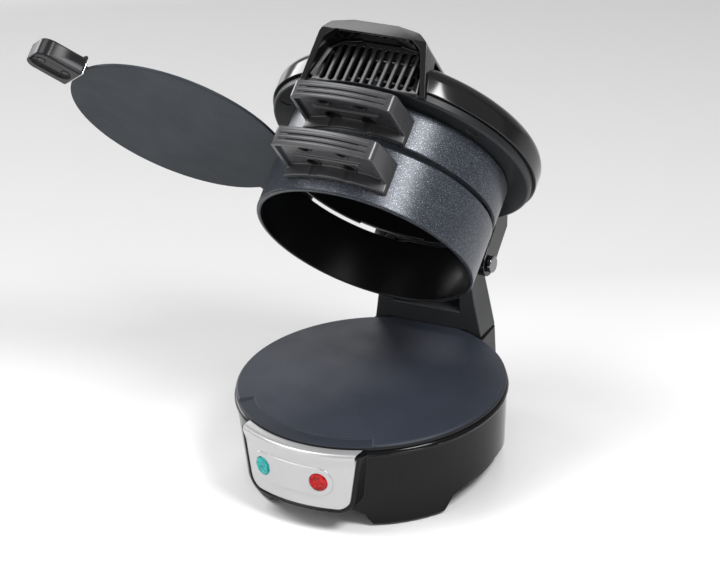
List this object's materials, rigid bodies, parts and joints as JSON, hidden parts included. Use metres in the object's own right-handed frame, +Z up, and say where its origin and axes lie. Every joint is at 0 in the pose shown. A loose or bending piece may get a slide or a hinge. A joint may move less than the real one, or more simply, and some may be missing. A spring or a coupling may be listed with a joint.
{
  "type": "electric burger maker",
  "caption": "Round countertop sandwich cooker: heated base and domed lid on a rear hinge, stacked rings between them and a swing-out cooking plate with a handle.",
  "frame": {"origin": "on the floor, under the centre of the round lower cooking face", "axes": "+Z up, the control panel and ring handles face -Y, the hinge line runs along X at the rear"},
  "size_m": [0.2334, 0.1724, 0.2289],
  "materials": {
    "black_plastic": "fine satin moulding",
    "grey_plastic": "satin moulding",
    "silver_plastic": "silver lacquered moulding",
    "teal_lens": "clear tinted moulding",
    "red_lens": "clear tinted moulding",
    "clear_glass": "clear",
    "coated_aluminium": "dark non-stick coating",
    "ring_metal": "metallic grey non-stick coating",
    "dark_metal": "black painted",
    "bright_steel": "bright plated",
    "plain_steel": "plain",
    "rubber": "matt",
    "white_ceramic": "off-white",
    "wire_red": "insulated wire"
  },
  "bodies": {
    "base": {"base_housing": "black_plastic", "base_bottom_cover": "black_plastic", "cover_screws": "plain_steel", "rubber_feet": "rubber", "control_panel": "silver_plastic", "ready_lamp_lens": "teal_lens", "power_lamp_lens": "red_lens", "lamp_holder": "black_plastic", "neon_lamps": "clear_glass", "lower_heating_plate": "coated_aluminium", "lower_heating_element": "plain_steel", "lower_heat_shield": "plain_steel", "shield_screws": "plain_steel", "thermostat": "plain_steel", "thermal_fuse": "plain_steel", "terminal_block": "white_ceramic", "base_wiring": "wire_red", "hinge_tower": "black_plastic", "tower_back_cover": "black_plastic", "tower_screws": "plain_steel", "hinge_pin": "bright_steel", "pin_caps": "bright_steel", "cord_bush": "rubber"},
    "lower_bracket": {"lower_hinge_bracket": "dark_metal"},
    "lower_ring": {"lower_ring": "ring_metal", "lower_ring_handle": "grey_plastic", "lower_handle_screws": "plain_steel"},
    "upper_bracket": {"upper_hinge_bracket": "dark_metal"},
    "upper_ring": {"upper_ring": "ring_metal", "upper_ring_handle": "grey_plastic", "upper_handle_screws": "plain_steel", "plate_pivot_bracket": "black_plastic", "plate_pivot_pin": "bright_steel"},
    "cooking_plate": {"cooking_plate": "coated_aluminium", "plate_pivot_hub": "black_plastic", "plate_pivot_retainer": "black_plastic", "plate_handle": "black_plastic", "plate_handle_ferrule": "bright_steel", "plate_handle_screws": "plain_steel"},
    "lid": {"lid_shell": "black_plastic", "handle_grille": "black_plastic", "lid_rim": "dark_metal", "upper_heating_plate": "coated_aluminium", "upper_heating_element": "plain_steel", "upper_heat_shield": "plain_steel", "lid_shield_screws": "plain_steel", "upper_thermal_fuse": "plain_steel", "lid_screws": "plain_steel", "lid_wiring": "wire_red"}
  },
  "joints": [
    {"name": "lower_hinge", "type": "hinge", "parent": "base", "child": "lower_bracket", "pos_m": [0, 0.0731, 0.083], "axis": [-1, 0, 0], "range_deg": [-53, 52]},
    {"name": "ring_release", "type": "slide", "parent": "lower_bracket", "child": "lower_ring", "axis": [0, -0.6018, 0.7986], "range_m": [0, 0.012]},
    {"name": "upper_hinge", "type": "hinge", "parent": "lower_bracket", "child": "upper_bracket", "pos_m": [0, 0.0731, 0.083], "axis": [1, 0, 0], "range_deg": [-52, 0]},
    {"name": "upper_ring_release", "type": "slide", "parent": "upper_bracket", "child": "upper_ring", "axis": [0, -0.6018, 0.7986], "range_m": [0, 0.012]},
    {"name": "plate_swing", "type": "hinge", "parent": "upper_ring", "child": "cooking_plate", "pos_m": [-0.06564, 0.04139, 0.11843], "axis": [0, 0.7986, 0.6018], "range_deg": [0, 100.7]},
    {"name": "lid_hinge", "type": "hinge", "parent": "upper_bracket", "child": "lid", "pos_m": [0, 0.0731, 0.083], "axis": [1, 0, 0], "range_deg": [-52, 0]}
  ],
  "couplings": [
    {"joint": "upper_ring_release", "follows": "ring_release", "ratio": 1}
  ]
}
